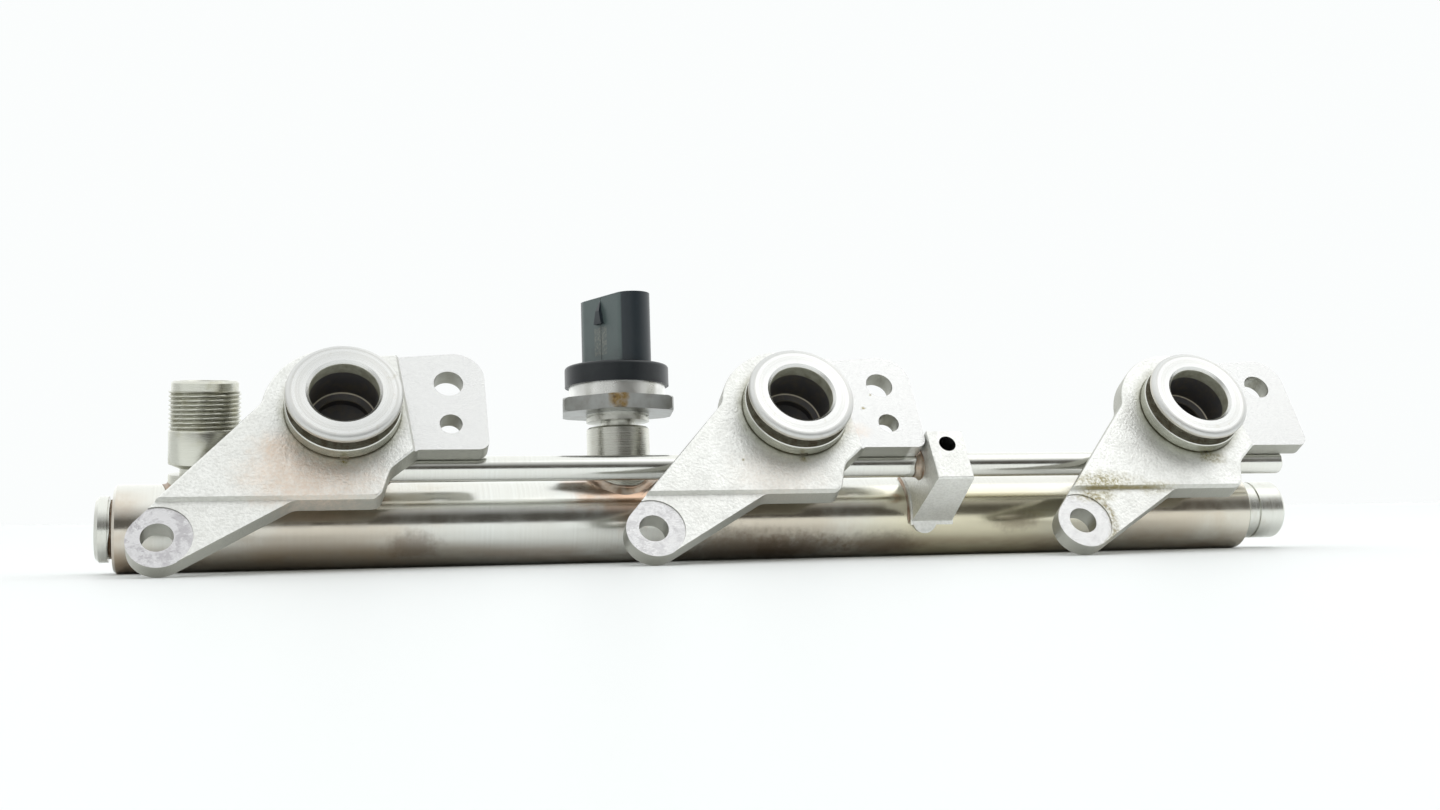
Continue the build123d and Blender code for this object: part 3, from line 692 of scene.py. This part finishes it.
def thread_cut(height, turn):
    """Depth of the screw thread at a height, a part of a turn round it."""
    phase = (height / THREAD_PITCH - turn) % 1.0
    flank, flat = 1.25, 0.05
    ridge = min(1.0, max(0.0, (0.5 - abs(phase - 0.5)) * 2.0 * flank - flat))
    run_out, run_in = 0.8, 0.3      # lengths over which the thread fades at its two ends
    fade = min(1.0, (height - THREAD_LOW) / run_out, (THREAD_HIGH - height) / run_in)
    return THREAD_DEPTH * (1.0 - ridge) * max(fade, 0.0)


def inlet_thread_piece():
    """The inlet fitting, with its real screw thread."""
    columns = 96
    steps = 12      # rows to a pitch of the thread
    length = THREAD_HIGH - THREAD_LOW
    count = int(length / THREAD_PITCH * steps)
    # radius and height of each row: foot on the tube, neck, relief, thread, lead, cone, bore
    profile = [(FITTING_R, None), (FITTING_R, 12.0), (7.85, 12.3), (5.5, 12.35), (5.5, 13.6),
               (7.9, 14.6), (FITTING_R, 14.9)]
    profile += [(FITTING_R, THREAD_LOW + length * index / count) for index in range(count)]
    profile += [(7.45, 31.25), (7.45, 33.0), (6.95, 33.5), (5.8, 33.5),
                (INLET_BORE_R, 27.7), (INLET_BORE_R, 4.0)]
    points = []
    for radius, height in profile:
        for column, angle in enumerate(circle(columns)):
            r, z = radius, height
            if height is None:      # the foot follows the tube
                z = math.sqrt(TUBE_R**2 - (r * math.sin(angle))**2)
            elif radius == FITTING_R and THREAD_LOW < height < THREAD_HIGH:
                r -= thread_cut(height, column / columns)
            points.append((r * math.cos(angle), r * math.sin(angle), z))
    piece = mesh_piece("inlet_threaded", points, grid_faces(len(profile), columns), inlet_frame,
                       fitting_metal)
    sharpen(piece, 32.0)
    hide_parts("inlet_fitting")


inlet_thread_piece()


def drill(piece, matrix, radius):
    """Cuts a round hole along z of a frame, from its origin out through the tube's wall."""
    columns = 36
    points = [matrix @ Vector((radius * math.cos(angle), radius * math.sin(angle), z))
              for z in (0.0, 2 * TUBE_R) for angle in circle(columns)]
    ends = [tuple(range(columns)), tuple(range(columns, 2 * columns))]
    mesh = bpy.data.meshes.new("drill")
    mesh.from_pydata(points, [], prism_faces(columns) + ends)
    face_out(mesh)
    bit = bpy.data.objects.new("drill", mesh)
    scene.collection.objects.link(bit)
    cut = piece.modifiers.new("drill", "BOOLEAN")
    cut.operation = "DIFFERENCE"
    cut.solver = "EXACT"
    cut.object = bit
    result = piece.evaluated_get(bpy.context.evaluated_depsgraph_get())
    drilled = bpy.data.meshes.new_from_object(result)
    piece.modifiers.clear()
    piece.data = drilled
    bpy.data.objects.remove(bit)
    bpy.data.meshes.remove(mesh)


def rail_tube_piece():
    """The rail tube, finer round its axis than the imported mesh."""
    columns = 144
    steps = 48
    length = TUBE_RIGHT - TUBE_LEFT
    edge = TUBE_R - TUBE_CHAMFER
    body = [TUBE_CHAMFER + (length - 2 * TUBE_CHAMFER) * index / steps
            for index in range(steps + 1)]
    profile = [(TUBE_BORE_R, 0.0), (edge, 0.0), *((TUBE_R, z) for z in body),
               (edge, length), (TUBE_BORE_R, length)]
    points = [(radius * math.cos(angle), radius * math.sin(angle), z)
              for radius, z in profile for angle in circle(columns)]
    piece = mesh_piece("rail_tube_fine", points, grid_faces(len(profile), columns),
                       tube_frame(TUBE_LEFT), rail_metal)
    slant = Matrix.Rotation(-math.atan2(CUP_S - CUP_PORT, CUP_FLOOR), 4, "X")
    for x in CUPS:
        drill(piece, plate_frame(x) @ slant, PORT_R)
    drill(piece, sensor_frame, PORT_R)
    drill(piece, inlet_frame, INLET_BORE_R)
    for polygon in piece.data.polygons:
        polygon.use_smooth = True
    sharpen(piece)
    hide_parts("rail_tube")


rail_tube_piece()


# Braze runs. Each section is a curve from the wall past the corner to the foot, closed by a row
# sunk into the metal, and each run swells and thins a little on its way.
def bend(t, wall, corner, foot):
    """Point at t of the concave curve from a wall past a corner to a foot."""
    return (1 - t)**2 * wall + 2 * t * (1 - t) * corner + t * t * foot


def tube_height(y):
    """Height of the tube's surface beside its middle line."""
    return math.sqrt(max(TUBE_R**2 - min(abs(y), BRAZE_LIMIT)**2, 0.0))


def saddle_fillet(name, matrix, radius, rise, spread, offset=0.0, arc=FULL_TURN, columns=72):
    """Braze where a round post meets the tube. offset is the post's place up its frame."""
    rows = 6
    first, last = arc
    closed = arc == FULL_TURN
    span = columns if closed else columns - 1

    def at(angle, r, z):
        return Vector((r * math.cos(angle), offset + r * math.sin(angle), z))

    points = []
    for row in range(rows + 1):
        for column in range(columns):
            angle = math.radians(first + (last - first) * column / span)
            swell = 1.0 + 0.18 * math.sin(3.0 * angle + 1.0) + 0.1 * math.sin(7.0 * angle)
            side = math.sin(angle)
            reach = radius + spread * swell
            foot_y = offset + reach * side
            if abs(foot_y) > BRAZE_LIMIT:
                edge = math.copysign(BRAZE_LIMIT, foot_y)
                reach = max((edge - offset) / side, radius + 0.05)
                foot_y = offset + reach * side
            base = tube_height(offset + radius * side)
            wall = at(angle, radius + 2 * SKIN, base + rise * swell)
            foot = at(angle, reach, tube_height(foot_y) + SKIN)
            if row == rows:
                points.append(at(angle, radius - SUNK, base - SUNK))
            else:
                points.append(bend(row / (rows - 1), wall, at(angle, radius, base), foot))
    mesh_piece(name, points, grid_faces(rows + 1, columns, closed), matrix, braze_metal)


saddle_fillet("braze_boss", sensor_frame, BOSS_R, rise=1.3, spread=1.9)
saddle_fillet("braze_inlet", inlet_frame, FITTING_R, rise=0.9, spread=1.4)
for number, x in enumerate(CUPS, 1):
    saddle_fillet(f"braze_cup_{number}", plate_frame(x), CUP_BODY_R, rise=1.6, spread=2.2,
                  offset=CUP_S, arc=(196.0, 344.0), columns=60)


def ring_fillet(name, matrix, radius, rise, spread):
    """Braze where a round wall meets the plane z = 0 of a frame."""
    rows, columns = 6, 48
    points = []
    for row in range(rows + 1):
        t = row / (rows - 1)
        for angle in circle(columns):
            swell = 1.0 + 0.2 * math.sin(2.0 * angle + 0.7) + 0.1 * math.sin(5.0 * angle)
            r = bend(t, radius + 2 * SKIN, radius, radius + spread * swell)
            z = bend(t, rise * swell, 0.0, SKIN)
            if row == rows:
                r, z = radius - SUNK, -SUNK
            points.append((r * math.cos(angle), r * math.sin(angle), z))
    mesh_piece(name, points, grid_faces(rows + 1, columns), matrix, braze_metal)


ring_fillet("braze_plug_left", tube_frame(TUBE_LEFT, flip=True), 6.6, rise=0.9, spread=1.5)
ring_fillet("braze_plug_right", tube_frame(TUBE_RIGHT), 7.45, rise=0.6, spread=1.1)
turned_over = Matrix.Rotation(math.pi, 4, "X")
for number, x in enumerate(CUPS, 1):
    ring_fillet(f"braze_plate_{number}", plate_frame(x, CUP_S, PLATE_BACK) @ turned_over,
                CUP_BODY_R, rise=0.8, spread=1.1)
for name, offset, rise, spread in (("left", -4.9, 1.7, 1.3), ("right", 4.9, 1.0, 0.7)):
    along = Vector((math.copysign(1.0, offset), 0, 0))
    origin = at_plate(LUG_X + offset, STIFF_S, STIFF_N)
    ring_fillet(f"braze_lug_{name}", axes_matrix(origin, UP, along.cross(UP), along), STIFF_R,
                rise, spread)


def lug_bead(name, x, along):
    """Braze along the curved edge of the lug's saddle foot."""
    rows, columns = 5, 28
    half_angle = 43.0       # of the foot, in degrees
    taper = 0.08            # part of the bead over which each end thins
    rise, spread = 0.6, 0.45
    points = []
    for row in range(rows + 1):
        t = row / (rows - 1)
        for column in range(columns):
            part = column / (columns - 1)
            lean = math.radians(-half_angle + 2 * half_angle * part)
            ends = max(min(1.0, part / taper, (1.0 - part) / taper), 0.05)
            swell = (1.0 + 0.2 * math.sin(9.0 * part + 1.0)) * ends
            r = bend(t, TUBE_R + rise * swell, TUBE_R, TUBE_R + SKIN)
            reach = bend(t, 0.0, 0.0, spread * swell)
            if row == rows:
                r, reach = TUBE_R - SUNK, -SUNK
            spoke = FACE * math.cos(lean) + UP * math.sin(lean)
            points.append(Vector((x + along * reach, 0, 0)) + spoke * r)
    matrix = axes_matrix(Vector((0, 0, 0)), X_AXIS, Y_AXIS, Z_AXIS)
    mesh_piece(name, points, grid_faces(rows + 1, columns, False), matrix, braze_metal)


lug_bead("braze_foot_left", LUG_X - 5.6, -1)
lug_bead("braze_foot_right", LUG_X + 5.6, 1)


def socket_pieces():
    """The ramp that the plug rides up over the latch nose, and the moulding seam."""
    wall = SOCKET_WALL
    points = []
    for height, half, proud in ((54.0, 0.12, 0.12), (51.2, 0.7, 1.15), (48.0, 1.5, 1.15)):
        points += [(-half, wall, height), (-half, wall - proud, height),
                   (half, wall - proud, height), (half, wall, height)]
    faces = [(0, 1, 2, 3), (11, 10, 9, 8)] + prism_faces(4) + prism_faces(4, 4)
    mesh_piece("latch_ramp", points, faces, SOCKET_FRAME, housing,
               smooth=False)
    section = ((-0.1, wall), (-0.05, wall - 0.13), (0.05, wall - 0.13), (0.1, wall))
    points = [(x, y, z) for z in (37.75, 54.85) for x, y in section]
    faces = [(3, 2, 1, 0), (4, 5, 6, 7)] + prism_faces(4)
    seam = plastic("seam_plastic", (0.11, 0.125, 0.12), 0.45)
    mesh_piece("socket_seam", points, faces, SOCKET_FRAME, seam,
               smooth=False)


socket_pieces()


# ---- floor, light, camera ------------------------------------------------------------------
def floor():
    """White sheet, whose part ahead of the rail glows a little in mirrors."""
    reach = 6.0     # metres, as all places here
    glow_from, glow_to = 0.004, -0.006
    mesh = bpy.data.meshes.new("floor")
    corners = [(-reach, -reach, 0), (reach, -reach, 0), (reach, reach, 0), (-reach, reach, 0)]
    mesh.from_pydata(corners, [], [(0, 1, 2, 3)])
    g = Graph("floor_white")
    g.shader(Base_Color=(0.815, 0.83, 0.827), Roughness=0.5, Specular_IOR_Level=0.25)
    _, y, _ = g.split(g.place)
    ahead = g.remap(y, glow_from, glow_to, 0.0, 0.3, smooth=False)
    path = g.tree.nodes.new("ShaderNodeLightPath")
    glow = g.tree.nodes.new("ShaderNodeEmission")
    glow.inputs["Color"].default_value = (0.98, 1.0, 1.0, 1)
    g.put(glow.inputs["Strength"], g.times(path.outputs["Is Glossy Ray"], ahead))
    both = g.tree.nodes.new("ShaderNodeAddShader")
    g.put(both.inputs[0], g.tree.nodes["Principled BSDF"].outputs[0])
    g.put(both.inputs[1], glow.outputs[0])
    g.put(g.tree.nodes["Material Output"].inputs["Surface"], both.outputs[0])
    mesh.materials.append(g.owner)
    piece = bpy.data.objects.new("floor", mesh)
    scene.collection.objects.link(piece)


def studio():
    """White tent, open to a dim room on the camera's side; the camera sees only white."""
    tent_light = 1.35
    g = Graph("studio", bpy.data.worlds)
    scene.world = g.owner
    x, y, z = g.split(g.coordinates["Generated"])

    def band(value, low, high, to_low=0.0, to_high=1.0):
        return g.remap(value, low, high, to_low, to_high, smooth=False)

    # the tent's opening: in front and low, weaker to the sides, and a part far to the left
    low = band(z, 0.38, 1.0, 1.0, 0.0)
    opening = g.times(band(y, -0.1, -0.6), low, band(x, -0.35, -0.08, 0.6, 1.0),
                      band(x, 0.5, 0.85, 1.0, 0.5))
    far_left = g.times(band(x, -0.6, -0.9, 0.0, 0.4), low)
    seen = g.tree.nodes.new("ShaderNodeLightPath").outputs["Is Camera Ray"]
    dark = g.times(g.math("MAXIMUM", opening, far_left), g.math("SUBTRACT", 1.0, seen))
    background = g.tree.nodes["Background"]
    g.put(background.inputs["Color"], g.mix(dark, (0.967, 0.985, 0.983), (0.07, 0.067, 0.06)))
    g.put(background.inputs["Strength"], band(seen, 0.0, 1.0, tent_light, 1.0))


def softbox():
    """Soft lamp ahead of the rail, high on its right; places and sizes in metres."""
    place, aim = Vector((0.45, -0.25, 0.8)), Vector((0, 0, 0.03))
    data = bpy.data.lights.new("softbox", "AREA")
    data.shape = "RECTANGLE"
    data.size, data.size_y = 0.8, 0.6
    data.energy = 0.8
    lamp = bpy.data.objects.new("softbox", data)
    lamp.location = place
    lamp.rotation_euler = (aim - place).to_track_quat("-Z", "Y").to_euler()
    scene.collection.objects.link(lamp)


def camera():
    """The place and lens that line the rail up with its picture, solved from its own points."""
    place = (Vector((-16.989, -401.227, 2.026)) + AXIS_SHIFT) * MM
    yaw, pitch, roll = 0.26482, 0.09384, -0.01588       # radians
    width, height = 1440, 810                           # pixels
    focal_length = 1675.998
    centre_x, centre_y = 717.620, 352.885
    forward = Vector((math.sin(yaw) * math.cos(pitch), math.cos(yaw) * math.cos(pitch),
                      math.sin(pitch)))
    right = Vector((math.cos(yaw), -math.sin(yaw), 0.0))
    up = right.cross(forward)
    side = right * math.cos(roll) + up * math.sin(roll)
    top = up * math.cos(roll) - right * math.sin(roll)
    data = bpy.data.cameras.new("camera")
    data.sensor_width = 36.0
    data.sensor_fit = "HORIZONTAL"
    data.lens = focal_length / width * data.sensor_width
    data.shift_x = (width / 2 - centre_x) / width
    data.shift_y = (centre_y - height / 2) / width
    data.clip_start = 0.01
    view = bpy.data.objects.new("camera", data)
    turn = Matrix((side, top, -forward)).transposed().to_4x4()
    view.matrix_world = Matrix.Translation(place) @ turn
    scene.collection.objects.link(view)
    scene.camera = view


floor()
studio()
softbox()
camera()
scene.view_settings.view_transform = "Standard"
